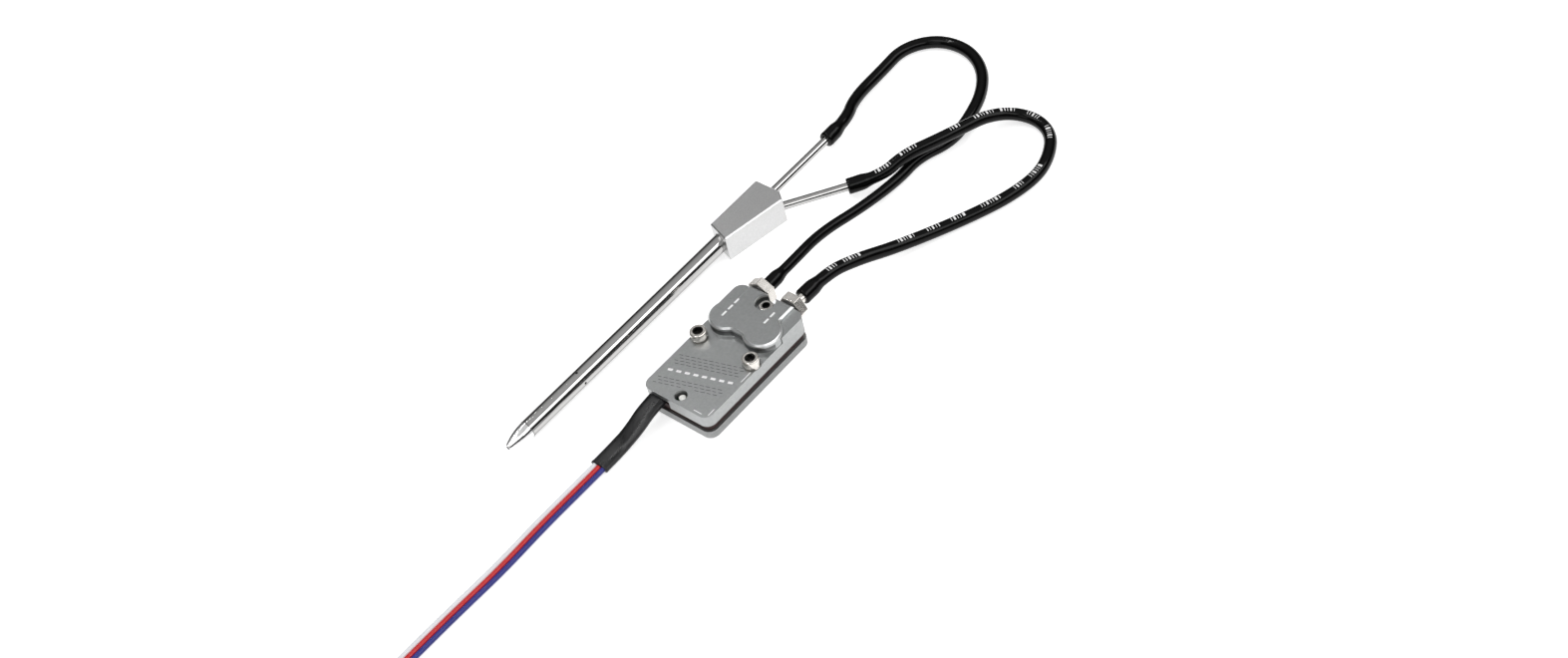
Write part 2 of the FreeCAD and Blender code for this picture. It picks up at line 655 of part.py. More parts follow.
def round_hose(label, points, ends):
    """A hose with a stretched cuff and a short bore at each end."""
    path, radii = route(points)
    print(f"{label}: radii", " ".join(f"{radius:.0f}" for radius in radii))
    spots = [Vector(*point) for point in points]
    radius = value("hose_od / 2")
    outward = (spots[1] - spots[0]).cross(Vector(0, 0, 1)).normalize() * radius
    turn = Rotation(spots[1] - spots[0], 360 / HOSE_SIDES)
    rim = [outward]
    while len(rim) < HOSE_SIDES:
        rim.append(turn.multVec(rim[-1]))
    section = Part.makePolygon([spots[0] + spoke for spoke in rim + rim[:1]])
    solid = swept(label, path, section, Part.Face(section).Area)
    cuff, grown, taper = (value(name) for name in ("cuff_length", "cuff_od / 2", "cuff_taper"))
    for (end, inner), (bore, depth) in zip(((spots[0], spots[1]), (spots[-1], spots[-2])), ends):
        along = Vector(inner - end).normalize()
        mouth = Part.makeCylinder(grown, cuff, end, along)
        slope = Part.makeCone(grown, 2 * radius - grown, 2 * taper, end + along * cuff, along)
        solid = solid.fuse(mouth.fuse(slope))
        solid = solid.cut(Part.makeCylinder(bore / 2, depth, end, along))
    hose = doc.addObject("Part::Feature", label)
    hose.Shape = solid.removeSplitter()
    return node(hose, label)


def flat_strip(label, points, width, height):
    """A flat cable or sleeve, its width kept level."""
    path, radii = route(points)
    print(f"{label}: radii", " ".join(f"{radius:.0f}" for radius in radii))
    start, following = Vector(*points[0]), Vector(*points[1])
    along = Vector(following.x - start.x, following.y - start.y, 0).normalize()
    side = Vector(-along.y, along.x, 0) * (width / 2)
    rise = Vector(0, 0, height / 2)
    corners = [start + side + rise, start - side + rise, start - side - rise, start + side - rise]
    section = Part.makePolygon(corners + corners[:1])
    strip = doc.addObject("Part::Feature", label)
    strip.Shape = swept(label, path, section, width * height, True)
    return node(strip, label)


probe_z = value(axis_z)
floor_z = value("hose_od / 2")
bore_of = {"outlet": (value("inner_od + bore_gap"), value("hose_overlap + bore_gap")),
           "dynamic": (value("barb_dia + bore_gap"),
                       value("nipple_length - dynamic_gap + bore_gap")),
           "static": (value("barb_dia + bore_gap"),
                      value("nipple_length - static_gap + bore_gap"))}
outlet_x = value(f"{rear_x} + outlet_reach")
branch_reach = value("branch_face + branch_reach")
branch_dir = Vector(value(branch_cos), -value(branch_sin), 0)
branch_end = Vector(value("branch_x"), 0, probe_z) + branch_dir * branch_reach
branch_on = branch_end + branch_dir * 8
port_z = value("port_z")
dynamic_end = Vector(value(f"case_x + {hex_end} + dynamic_gap"), value("case_y + port_y"), port_z)
static_end = Vector(value(f"case_x + {hex_end} + static_gap"), value("case_y - port_y"), port_z)

DYNAMIC_ROUTE = [
    (outlet_x, 0, probe_z), (outlet_x + 7.5, 0, probe_z),
    (44.5, 4, 2.4), (56.5, 5, floor_z), (65, 5.5, floor_z), (71.5, 0, floor_z),
    (72.5, -8.5, floor_z), (68.5, -16, floor_z), (61.5, -21, floor_z), (53, -23.5, floor_z),
    (45, -24.5, floor_z), (37, -21, floor_z), (29, -21.5, floor_z), (17, -21, 3),
    (4, -19.5, 5.3), (dynamic_end.x + 9, dynamic_end.y, port_z), tuple(dynamic_end)]
STATIC_ROUTE = [
    tuple(branch_end), tuple(branch_on),
    (33, -20.5, 5.2), (41.5, -24.5, 5.2), (48, -27, 5), (53.8, -28.8, 4.2),
    (58.6, -32.3, 2.8), (60.4, -38, 1.8), (58, -43.4, floor_z), (52.5, -46.8, floor_z),
    (46, -48.5, floor_z), (37.5, -47, floor_z), (29, -43.5, floor_z), (19.5, -39, 1.8),
    (9.5, -35, 3.4), (2, -32.5, 5.8), (static_end.x + 8.5, static_end.y, port_z),
    tuple(static_end)]
round_hose("dynamic_hose", DYNAMIC_ROUTE, (bore_of["outlet"], bore_of["dynamic"]))
round_hose("static_hose", STATIC_ROUTE, (bore_of["outlet"], bore_of["static"]))

sleeve_z = value(f"{upper_z} + slot_height / 2")
slot_at = value("case_y + slot_y")
coil_z = value("coil_z")
lead_z = value("lead_height / 2")
sleeve_end_z = value("sleeve_height / 2") + 0.05
join_x = value("coil_x + coil_lead_in")
join_y = value("coil_y + coil_outer")
SLEEVE_ROUTE = [(value(entry_x), slot_at, sleeve_z), (-54.5, slot_at, sleeve_z),
                (-60, -20, 3.1), (-65, -18.8, sleeve_end_z), (-70.4, -18.8, sleeve_end_z)]
LEAD_ROUTE = [(-70.4, -18.8, sleeve_end_z), (-77, -18.8, sleeve_end_z), (-88, -18.5, lead_z),
              (-101, -19, lead_z), (-114, -18.6, lead_z), (-125, join_y, coil_z),
              (join_x, join_y, coil_z)]
flat_strip("cable_sleeve", SLEEVE_ROUTE, value("sleeve_width"), value("sleeve_height"))
flat_strip("three_core_lead", LEAD_ROUTE, value("lead_width"), value("lead_height"))

# the put-away turns lie flat, one inside the other, with a straight lead-in and a turned-in tail
half_lead = value("lead_width / 2")
outer, inner = value("coil_outer"), value("coil_outer - turn_pitch")
thick = value("lead_height")
middle = Vector(value("coil_x"), value("coil_y"), coil_z - thick / 2)


def flat_turn(centre, radius, start, sweep):
    """A flat curve of the lead, from the start angle over the sweep."""
    up = Vector(0, 0, 1)
    turn = Part.makeCylinder(radius + half_lead, thick, centre, up, sweep)
    turn = turn.cut(Part.makeCylinder(radius - half_lead, thick, centre, up, sweep))
    turn.rotate(centre, up, start)
    return turn


ring = Part.makeCylinder(outer + half_lead, thick, middle)
ring = ring.cut(Part.makeCylinder(inner - half_lead, thick, middle))
lead_in = Part.makeBox(value("coil_lead_in"), 2 * half_lead, thick,
                       middle + Vector(0, outer - half_lead, 0))
tail_radius = value("tail_radius")
tail_sweep = value("tail_sweep")
leaving = math.radians(-tail_sweep)
inward = inner - tail_radius
tail_centre = middle + Vector(inward * math.cos(leaving), inward * math.sin(leaving), 0)
tail = flat_turn(tail_centre, tail_radius, -tail_sweep, tail_sweep)
coil = doc.addObject("Part::Feature", "lead_coil")
coil.Shape = ring.fuse([lead_in, tail]).removeSplitter()
node(coil, "lead_coil")

# ---- tie, plug and contacts ----

tail_step = "(coil_outer - turn_pitch - tail_radius)"
plug_x = f"(coil_x + {tail_step} * cos(tail_sweep) + tail_radius)"
plug_y = f"(coil_y - {tail_step} * sin(tail_sweep))"
bundle = "(lead_width + turn_pitch)"
tie_x = "(coil_x - coil_outer + turn_pitch / 2)"
strap_height = "(coil_z + lead_height / 2 + tie_gap + tie_strap)"
band = new_body("coil_tie")
shape = sketch_on(band, "XZ_Plane", "0 - tie_width / 2")
box_outline(shape, f"0 - {bundle} / 2 - tie_gap - tie_strap",
            f"{bundle} / 2 + tie_gap + tie_strap", "0", strap_height)
box_outline(shape, f"0 - {bundle} / 2 - tie_gap", f"{bundle} / 2 + tie_gap", "tie_strap",
            f"{strap_height} - tie_strap")
pad(band, shape, "tie_width")
shape = box_outline(sketch_on(band, "XY_Plane", f"{strap_height} - tie_strap / 2"),
                    "0 - tie_head / 2", "tie_head / 2", "0 - tie_head / 2", "tie_head / 2")
pad(band, shape, "tie_head_height")
node(place(band, tie_x, "coil_y"), "coil_tie")

plug = new_body("lead_plug")
shape = box_outline(sketch_on(plug, "XY_Plane"), "0 - plug_width / 2", "plug_width / 2", "0",
                    "plug_length")
pad(plug, shape, "plug_height")
dress(plug, "PartDesign::Chamfer", "contact_height", lambda edge: (
    edge.BoundBox.YLength > value("plug_length") - 0.1
    and abs(edge.CenterOfMass.z - value("plug_height")) < 0.01))
shape = sketch_on(plug, "XZ_Plane", "0 - plug_length")
for step in ("0 - contact_pitch", "0", "contact_pitch"):
    box_outline(shape, f"{step} - contact_width / 2 - fit_gap",
                f"{step} + contact_width / 2 + fit_gap",
                "plug_height / 2 - contact_width / 2", "plug_height / 2 + contact_width / 2")
pocket(plug, shape, "contact_length + window_setback", True)
node(place(plug, plug_x, plug_y), "lead_plug")

contacts = []
for number, step in enumerate(("0 - contact_pitch", "0", "contact_pitch")):
    tongue = block("contact_%d" % number, "contact_width", "contact_length", "contact_height")
    contacts.append(place(tongue, f"{plug_x} + {step} - contact_width / 2",
                          f"{plug_y} + plug_length - window_setback - contact_length",
                          "plug_height / 2 - contact_width / 2"))
group = doc.addObject("Part::Compound", "plug_contacts")
group.Links = contacts
node(group, "plug_contacts")

# ---- checks and files ----

doc.recompute()
for thing in doc.Objects:
    if "Invalid" in thing.State or "Error" in thing.State:
        raise RuntimeError(f"{thing.Name} failed: {thing.State}")
for thing in NODES:
    if thing.Shape.isNull() or not thing.Shape.isValid() or not thing.Shape.Solids:
        raise RuntimeError(thing.Label + " has no valid solid")

os.makedirs("parts", exist_ok=True)
for thing in NODES:
    thing.Shape.exportStep(f"parts/{thing.Label}.step")
    print(f"{thing.Label}: {len(thing.Shape.Solids)} solid(s), {thing.Shape.Volume:.2f} mm3")
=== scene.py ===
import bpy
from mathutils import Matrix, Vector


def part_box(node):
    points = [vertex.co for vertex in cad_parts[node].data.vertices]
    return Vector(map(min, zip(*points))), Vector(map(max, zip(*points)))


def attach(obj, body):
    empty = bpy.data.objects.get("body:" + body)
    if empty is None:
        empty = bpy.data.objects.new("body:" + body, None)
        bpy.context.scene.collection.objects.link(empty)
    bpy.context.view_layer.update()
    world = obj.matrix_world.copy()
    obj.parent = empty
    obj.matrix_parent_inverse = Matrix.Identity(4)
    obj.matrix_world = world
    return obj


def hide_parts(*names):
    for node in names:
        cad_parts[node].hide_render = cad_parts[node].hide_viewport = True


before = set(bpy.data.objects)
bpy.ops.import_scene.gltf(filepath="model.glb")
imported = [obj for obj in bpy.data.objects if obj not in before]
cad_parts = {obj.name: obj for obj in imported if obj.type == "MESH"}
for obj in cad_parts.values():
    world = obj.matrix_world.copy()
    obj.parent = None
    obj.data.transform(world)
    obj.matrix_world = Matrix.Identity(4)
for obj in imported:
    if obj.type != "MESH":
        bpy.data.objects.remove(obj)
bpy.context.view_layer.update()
import math

import bmesh
import bpy
from mathutils import Matrix, Vector

MM = 0.001

# ---------------------------------------------------------------- camera


def make_camera():
    """A camera at the photograph's viewing angle, from its three axes and its place in mm."""
    data = bpy.data.cameras.new("view")
    data.sensor_width = 36.0
    data.lens = 54.51
    data.clip_start = 0.01
    data.clip_end = 20.0
    camera = bpy.data.objects.new("view", data)
    bpy.context.scene.collection.objects.link(camera)
    right = Vector((0.63285, -0.75358, -0.17784))
    down = Vector((-0.6402, -0.38008, -0.6676))
    ahead = Vector((0.43549, 0.53634, -0.72297))
    turn = Matrix((right, -down, -ahead)).transposed().to_4x4()
    place = Vector((-244.39, -304.40, 373.77)) * MM
    camera.matrix_world = Matrix.Translation(place) @ turn
    bpy.context.scene.camera = camera


make_camera()
bpy.context.scene.view_settings.view_transform = "Standard"

# ---------------------------------------------------------------- node helpers

# where a noise's values are taken as lowest and highest, and the height of its relief in metres
NOISE_LOW = 0.3
NOISE_HIGH = 0.7
RELIEF = 0.0002
# a Mix node has sockets of the same name for each kind, so those of its colours go by number
MIX_SHARE, MIX_FIRST, MIX_SECOND, MIX_RESULT = 0, 6, 7, 2


def nodes_of(material):
    """The material's node tree, its links and its shader."""
    material.use_nodes = True
    tree = material.node_tree
    return tree, tree.links, tree.nodes["Principled BSDF"]


def new_node(tree, kind, **settings):
    """A node whose settings are inputs, or else the node's own properties."""
    node = tree.nodes.new(kind)
    for name, value in settings.items():
        if name in node.inputs:
            node.inputs[name].default_value = value
        else:
            setattr(node, name, value)
    return node


def ramp_of(tree, stops):
    """A colour ramp through the stops, each a place and a grey or a colour."""
    ramp = tree.nodes.new("ShaderNodeValToRGB")
    while len(ramp.color_ramp.elements) < len(stops):
        ramp.color_ramp.elements.new(0.5)
    for element, (place, tone) in zip(ramp.color_ramp.elements, stops):
        element.position = place
        element.color = (tone, tone, tone, 1) if isinstance(tone, float) else (*tone, 1)
    return ramp


def noise_material(name, dark, light, rough, metal=0.0, scale=900.0, stretch=(1, 1, 1),
                   bump=0.02, spread=0.08, specular=0.5):
    """A surface whose colour, roughness and height follow a noise, which stretch draws out."""
    material = bpy.data.materials.new(name)
    tree, links, shader = nodes_of(material)
    place = tree.nodes.new("ShaderNodeTexCoord")
    mapping = new_node(tree, "ShaderNodeMapping", Scale=stretch)
    links.new(place.outputs["Object"], mapping.inputs["Vector"])
    noise = new_node(tree, "ShaderNodeTexNoise", Scale=scale, Detail=4.0, Roughness=0.6)
    links.new(mapping.outputs["Vector"], noise.inputs["Vector"])
    colour = ramp_of(tree, [(NOISE_LOW, dark), (NOISE_HIGH, light)])
    links.new(noise.outputs["Fac"], colour.inputs["Fac"])
    links.new(colour.outputs["Color"], shader.inputs["Base Color"])
    gloss = ramp_of(tree, [(NOISE_LOW, max(rough - spread, 0.02)),
                           (NOISE_HIGH, min(rough + spread, 1.0))])
    links.new(noise.outputs["Fac"], gloss.inputs["Fac"])
    links.new(gloss.outputs["Color"], shader.inputs["Roughness"])
    relief = new_node(tree, "ShaderNodeBump", Strength=bump, Distance=RELIEF)
    links.new(noise.outputs["Fac"], relief.inputs["Height"])
    links.new(relief.outputs["Normal"], shader.inputs["Normal"])
    shader.inputs["Metallic"].default_value = metal
    shader.inputs["Specular IOR Level"].default_value = specular
    return material


def maths(tree, operation, first, second=None):
    """The result of a Math node, each of whose inputs is a number or another node's output."""
    node = new_node(tree, "ShaderNodeMath", operation=operation)
    for socket, value in zip(node.inputs, (first, second)):
        if isinstance(value, float):
            socket.default_value = value
        elif value is not None:
            tree.links.new(value, socket)
    return node.outputs["Value"]


def place_of(tree):
    """The X, Y and Z of a spot on the object."""
    spot = tree.nodes.new("ShaderNodeTexCoord")
    split = tree.nodes.new("ShaderNodeSeparateXYZ")
    tree.links.new(spot.outputs["Object"], split.inputs["Vector"])
    return split.outputs


def by_height(tree, low, high, stops):
    """A grey from the ramp's stops, by the height of a spot between low and high."""
    rise = new_node(tree, "ShaderNodeMapRange")
    rise.inputs["From Min"].default_value = low * MM
    rise.inputs["From Max"].default_value = high * MM
    tree.links.new(place_of(tree)["Z"], rise.inputs["Value"])
    tone = ramp_of(tree, stops)
    tree.links.new(rise.outputs["Result"], tone.inputs["Fac"])
    return tone.outputs["Color"]


def mix_into(material, blend, share, colour):
    """Mixes a colour into the material's own, by a share that is a number or an output."""
    tree, links, shader = nodes_of(material)
    old = shader.inputs["Base Color"].links[0].from_socket
    mix = new_node(tree, "ShaderNodeMix", data_type="RGBA", blend_type=blend)
    for number, value in ((MIX_SHARE, share), (MIX_SECOND, colour)):
        if isinstance(value, (float, tuple)):
            mix.inputs[number].default_value = value
        else:
            links.new(value, mix.inputs[number])
    links.new(old, mix.inputs[MIX_FIRST])
    links.new(mix.outputs[MIX_RESULT], shader.inputs["Base Color"])


def paint_socket_shade(material, middle, apart, reach):
    """Paints shade inside the screws' sockets, by the distance from each screw's axis, less dark
    at each socket's middle.
    """
    tree = material.node_tree
    place = place_of(tree)
    along = maths(tree, "SUBTRACT", place["X"], middle[0] * MM)
    across = maths(tree, "SUBTRACT", place["Y"], middle[1] * MM)
    across = maths(tree, "SUBTRACT", maths(tree, "ABSOLUTE", across), apart * MM)
    squares = maths(tree, "ADD", maths(tree, "MULTIPLY", along, along),
                    maths(tree, "MULTIPLY", across, across))
    share = maths(tree, "DIVIDE", maths(tree, "SQRT", squares), reach * MM)
    # painted shade: darkest on the socket walls, less dark at the socket's middle
    inside = ramp_of(tree, [(0.0, 0.75), (0.22, 0.60), (0.42, 0.05), (0.94, 0.05), (1.0, 1.0)])
    tree.links.new(share, inside.inputs["Fac"])
    mix_into(material, "MULTIPLY", 1.0, inside.outputs["Color"])


def paint_foot_shade(material, low, high, half_width, middle):
    """Paints shade on the milled walls round the raised boss, between two heights."""
    tree = material.node_tree
    # painted shade, by height on the walls round the boss
    tone = by_height(tree, low, high,
                     [(0.0, 1.0), (0.12, 0.55), (0.7, 0.30), (0.97, 0.35), (1.0, 1.0)])
    away = maths(tree, "ABSOLUTE", maths(tree, "SUBTRACT", place_of(tree)["Y"], middle * MM))
    mix_into(material, "MULTIPLY", maths(tree, "LESS_THAN", away, half_width * MM), tone)


# ---------------------------------------------------------------- metals

steel = noise_material("polished_steel", (0.46, 0.455, 0.45), (0.54, 0.535, 0.53), 0.09, 1.0,
                       700.0, (0.04, 1, 1), 0.02, spread=0.03)
nose_steel = noise_material("bright_nose_steel", (0.84, 0.84, 0.84), (0.94, 0.94, 0.94), 0.16,
                            1.0, 700.0, (1, 1, 1), 0.01, spread=0.04)
block_metal = noise_material("blasted_alloy", (0.56, 0.56, 0.56), (0.66, 0.66, 0.66), 0.36, 1.0,
                             2600.0, (1, 1, 1), 0.10)
case_metal = noise_material("milled_alloy", (0.36, 0.37, 0.37), (0.42, 0.43, 0.43), 0.30, 0.85,
                            1500.0, (1, 1, 1), 0.03, spread=0.02)
screw_metal = noise_material("screw_steel", (0.52, 0.49, 0.45), (0.72, 0.69, 0.65), 0.20, 1.0,
                             1500.0, (1, 1, 1), 0.05)
case_screw_metal = noise_material("case_screw_steel", (0.62, 0.59, 0.55), (0.82, 0.79, 0.75), 0.20,
                                  1.0, 1500.0, (1, 1, 1), 0.05)
centre_screw_metal = noise_material("centre_screw_steel", (0.50, 0.48, 0.45),
                                    (0.70, 0.67, 0.64), 0.20, 1.0, 1500.0, (1, 1, 1), 0.05)
groove_dark = noise_material("engraved_groove", (0.09, 0.092, 0.092), (0.15, 0.152, 0.152), 0.5,
                             0.5, 2500.0, (1, 1, 1), 0.1)
nickel = noise_material("plated_brass", (0.76, 0.73, 0.69), (0.84, 0.81, 0.77), 0.24, 0.9,
                        900.0, (1, 1, 1), 0.01, spread=0.03)
lower_metal = noise_material("milled_alloy_lower", (0.25, 0.255, 0.255), (0.31, 0.315, 0.315),
                             0.32, 0.85, 1500.0, (1, 1, 1), 0.03, spread=0.02)
contact_metal = noise_material("contact_tin", (0.55, 0.51, 0.38), (0.68, 0.64, 0.50), 0.28, 1.0,
                               1400.0, (1, 1, 1), 0.04)

# ---------------------------------------------------------------- rubber, plastic and print

rubber = noise_material("joint_rubber", (0.020, 0.008, 0.008), (0.050, 0.018, 0.016), 0.55,
                        0.0, 1500.0, (1, 1, 1), 0.1)
washer_rubber = noise_material("washer_rubber", (0.010, 0.010, 0.010), (0.03, 0.03, 0.03), 0.5,
                               0.0, 1500.0, (1, 1, 1), 0.1)
board_green = noise_material("board_laminate", (0.01, 0.05, 0.02), (0.015, 0.08, 0.03), 0.4,
                             0.0, 1200.0, (1, 1, 1), 0.05)
chip_black = noise_material("chip_black", (0.010, 0.010, 0.011), (0.02, 0.02, 0.021), 0.45,
                            0.0, 2500.0, (1, 1, 1), 0.1)
lens_white = noise_material("lamp_lens", (0.70, 0.70, 0.66), (0.85, 0.85, 0.82), 0.25, 0.0,
                            1200.0, (1, 1, 1), 0.02)
socket_cream = noise_material("socket_nylon", (0.60, 0.57, 0.48), (0.70, 0.67, 0.58), 0.45,
                              0.0, 1200.0, (1, 1, 1), 0.05)
hose_black = noise_material("hose_rubber", (0.0015, 0.0015, 0.0016), (0.003, 0.003, 0.003),
                            0.12, 0.0, 420.0, (1, 1, 1), 0.03, spread=0.03, specular=0.15)
sleeve_black = noise_material("sleeve_plastic", (0.006, 0.006, 0.0065), (0.014, 0.014, 0.015),
                              0.30, 0.0, 900.0, (0.3, 1, 1), 0.10, specular=0.4)
core_white = noise_material("core_white", (0.74, 0.75, 0.78), (0.80, 0.81, 0.84), 0.32, 0.0,
                            400.0, (1, 1, 1), 0.004, spread=0.02)
core_red = noise_material("core_red", (0.54, 0.014, 0.016), (0.60, 0.018, 0.020), 0.30, 0.0,
                          400.0, (1, 1, 1), 0.004, spread=0.02)
core_blue = noise_material("core_blue", (0.018, 0.022, 0.20), (0.024, 0.028, 0.24), 0.30, 0.0,
                           400.0, (1, 1, 1), 0.004, spread=0.02)
plug_black = noise_material("plug_nylon", (0.008, 0.008, 0.009), (0.018, 0.018, 0.019), 0.40,
                            0.0, 1400.0, (1, 1, 1), 0.08)
tie_natural = noise_material("tie_nylon", (0.66, 0.65, 0.60), (0.76, 0.75, 0.70), 0.38, 0.0,
                             1400.0, (1, 1, 1), 0.04)
print_white = noise_material("print_white", (0.80, 0.80, 0.80), (0.95, 0.95, 0.95), 0.5, 0.0,
                             2500.0, (1, 1, 1), 0.02)

# ---------------------------------------------------------------- painted shade and highlights by place, in mm

CASE_MIDDLE_Y = -25.4
# painted shade inside the sockets of the case screws and the centre screw
paint_socket_shade(case_screw_metal, (-34.9, CASE_MIDDLE_Y), 7.5, 1.22)
paint_socket_shade(centre_screw_metal, (-21.0, CASE_MIDDLE_Y), 0.0, 0.95)
# painted shade on the walls between the deck and the boss
paint_foot_shade(case_metal, 7.13, 8.57, 9.2, CASE_MIDDLE_Y)
# painted highlight: a pale band along the boss's upper rim
painted_rim_highlight = by_height(case_metal.node_tree, 8.95, 9.49,
                     [(0.0, 0.0), (0.2, 1.0), (0.9, 1.0), (1.0, 0.0)])
mix_into(case_metal, "MIX", painted_rim_highlight, (0.86, 0.87, 0.87, 1))
# painted shade: the steel is darker towards the underside of the tube
painted_belly_shade = by_height(steel.node_tree, 1.4, 3.5, [(0.0, 0.42), (0.75, 0.70), (1.0, 1.0)])
mix_into(steel, "MULTIPLY", 1.0, painted_belly_shade)

# ---------------------------------------------------------------- finish of the CAD pieces

FINISH = {
    "nose_cone": nose_steel, "outer_static_tube": steel, "inner_pressure_tube": steel,
    "static_outlet_tube": steel, "junction_block": block_metal,
    "lower_case": lower_metal, "upper_case": case_metal, "joint_seal": rubber,
    "circuit_board": board_green, "microcontroller": chip_black,
    "voltage_regulator": chip_black, "dynamic_pressure_cell": screw_metal,
    "static_pressure_cell": screw_metal, "dynamic_cell_ring": washer_rubber,
    "static_cell_ring": washer_rubber, "status_led": lens_white, "lead_socket": socket_cream,
    "case_screws": case_screw_metal, "case_washers": screw_metal,
    "centre_screw": centre_screw_metal,
    "dynamic_fitting": nickel, "static_fitting": nickel, "fitting_seals": washer_rubber,
    "coil_tie": tie_natural, "lead_plug": plug_black, "plug_contacts": contact_metal,
}
for name, material in FINISH.items():
    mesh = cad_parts[name].data
    mesh.materials.clear()
    mesh.materials.append(material)

# ---------------------------------------------------------------- broken edges

# corners this close are the same corner, in mm, and angles in degrees for flat and for sharp
WELD_REACH = 0.002
FLAT_ANGLE = 1.0
SHARP_ANGLE = 38
EDGE_SEGMENTS = 2


def break_edges(name, width):
    """Welds a CAD piece's split corners, joins the facets of its flats and rounds its edges."""
    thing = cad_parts[name]
    weld = thing.modifiers.new("weld", "WELD")
    weld.merge_threshold = WELD_REACH * MM
    merge = thing.modifiers.new("merge_flats", "DECIMATE")
    merge.decimate_type = "DISSOLVE"
    merge.angle_limit = math.radians(FLAT_ANGLE)
    edge = thing.modifiers.new("edge", "BEVEL")
    edge.width = width * MM
    edge.segments = EDGE_SEGMENTS
    edge.limit_method = "ANGLE"
    edge.angle_limit = math.radians(SHARP_ANGLE)
    edge.harden_normals = True
    edge.use_clamp_overlap = True


for name, width in (("upper_case", 0.2), ("lower_case", 0.16), ("junction_block", 0.2),
                    ("case_screws", 0.16), ("case_washers", 0.1), ("centre_screw", 0.12),
                    ("dynamic_fitting", 0.12), ("static_fitting", 0.12), ("lead_plug", 0.12)):
    break_edges(name, width)

# ---------------------------------------------------------------- pieces


def piece_of(name, verts, faces, materials, indices=None, smooth=True):
    """A mesh piece on the object, with its faces turned outwards."""
    mesh = bpy.data.meshes.new(name)
    mesh.from_pydata(verts, [], faces)
    for material in materials:
        mesh.materials.append(material)
    if indices:
        mesh.polygons.foreach_set("material_index", indices)
    shell = bmesh.new()
    shell.from_mesh(mesh)
    bmesh.ops.recalc_face_normals(shell, faces=shell.faces)
    shell.to_mesh(mesh)
    shell.free()
    mesh.polygons.foreach_set("use_smooth", [smooth] * len(mesh.polygons))
    mesh.update()
    thing = bpy.data.objects.new(name, mesh)
    bpy.context.scene.collection.objects.link(thing)
    return thing


def ring_of(centre, side, rise, radius, around):
    """Spots on a circle about a centre, in the plane of two directions."""
    turns = [2 * math.pi * step / around for step in range(around)]
    return [centre + side * (radius * math.cos(turn)) + rise * (radius * math.sin(turn))
            for turn in turns]


def band(first, second, around):
    """Faces between two rings of corners, each given by the number of its first corner."""
    pairs = [(step, (step + 1) % around) for step in range(around)]
    return [(first + here, first + there, second + there, second + here)
            for here, there in pairs]


def loft(rings, first=0):
    """Corners and faces of a closed form through rings of spots; first is its first corner."""
    around = len(rings[0])
    faces = [tuple(range(first, first + around))]
    starts = [first + around * number for number in range(len(rings))]
    for start, following in zip(starts, starts[1:]):
        faces += band(start, following, around)
    faces.append(tuple(reversed(range(starts[-1], starts[-1] + around))))
    return [spot for ring in rings for spot in ring], faces


# ---------------------------------------------------------------- the nose's seam, in mm

SEAM_WIDTH = 0.16
SEAM_PROUD = 0.012
SEAM_DEPTH = 0.06
SEAM_AROUND = 48


def collar(name, x, axis_z, radius, material):
    """A thin ring round the probe, where two of its pieces meet."""
    verts, faces = [], []
    half = SEAM_WIDTH / 2
    for offset, reach in ((-half, radius - SEAM_DEPTH), (-half, radius),
                          (half, radius), (half, radius - SEAM_DEPTH)):
        for step in range(SEAM_AROUND):
            turn = 2 * math.pi * step / SEAM_AROUND
            verts.append(Vector((x + offset, reach * math.cos(turn),
                                 axis_z + reach * math.sin(turn))) * MM)
    for ring in range(4):
        for step in range(SEAM_AROUND):
            following = (step + 1) % SEAM_AROUND
            first, second = ring * SEAM_AROUND, (ring + 1) % 4 * SEAM_AROUND
            faces.append((first + step, second + step, second + following,
                          first + following))
    thing = piece_of(name, verts, faces, [material])
    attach(thing, "root")


tube_low, tube_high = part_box("outer_static_tube")
collar("nose_seam", tube_low[0] / MM, (tube_low[2] + tube_high[2]) / 2 / MM,
       (tube_high[2] - tube_low[2]) / 2 / MM + SEAM_PROUD, groove_dark)

# ---------------------------------------------------------------- plain marks on the case, in mm

# the middle of the case's end with the slot, from which the marks are placed
CASE = (-51.8, -25.4)
MARK_SUNK = 0.03
BOX_FACES = ((3, 2, 1, 0), (4, 5, 6, 7), (0, 1, 5, 4), (1, 2, 6, 5), (2, 3, 7, 6), (3, 0, 4, 7))


def marks(name, rows, level, height, material):
    """Thin flat bars on a level face: each is a middle, a length, a width and a turn."""
    verts, faces = [], []
    for x, y, long, wide, turn in rows:
        start = len(verts)
        c, s = math.cos(math.radians(turn)), math.sin(math.radians(turn))
        for z in (level - MARK_SUNK, level + height):
            for u, v in ((-1, -1), (1, -1), (1, 1), (-1, 1)):
                a, b = u * long / 2, v * wide / 2
                verts.append(Vector((CASE[0] + x + a * c - b * s, CASE[1] + y + a * s + b * c,
                                     z)) * MM)
        faces += [tuple(start + k for k in face) for face in BOX_FACES]
    thing = piece_of(name, verts, faces, [material], smooth=False)
    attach(thing, "root")


# the washers lie in recesses of this depth below the deck
RECESS_DEPTH = 0.3
deck_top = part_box("case_washers")[0][2] / MM + RECESS_DEPTH
boss_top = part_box("upper_case")[1][2] / MM

# rows of dashes lean by this angle in degrees, and every other row is staggered by half a step
SLOPE = -74.0
lean = 1 / math.tan(math.radians(SLOPE))
GROOVE_ROWS = (4.4, 5.25, 6.1, 10.6, 11.45, 12.3, 13.15)
GROOVE_COUNT = 11
GROOVE_REACH = 7.6
# the shortest dash, and by how much the next two lengths grow
GROOVE_LENGTH, GROOVE_GROWTH = 0.85, 0.12
GROOVE_WIDTH = 0.15
GROOVE_HEIGHT = 0.006
DECK_START, DECK_END = 1.6, 15.2
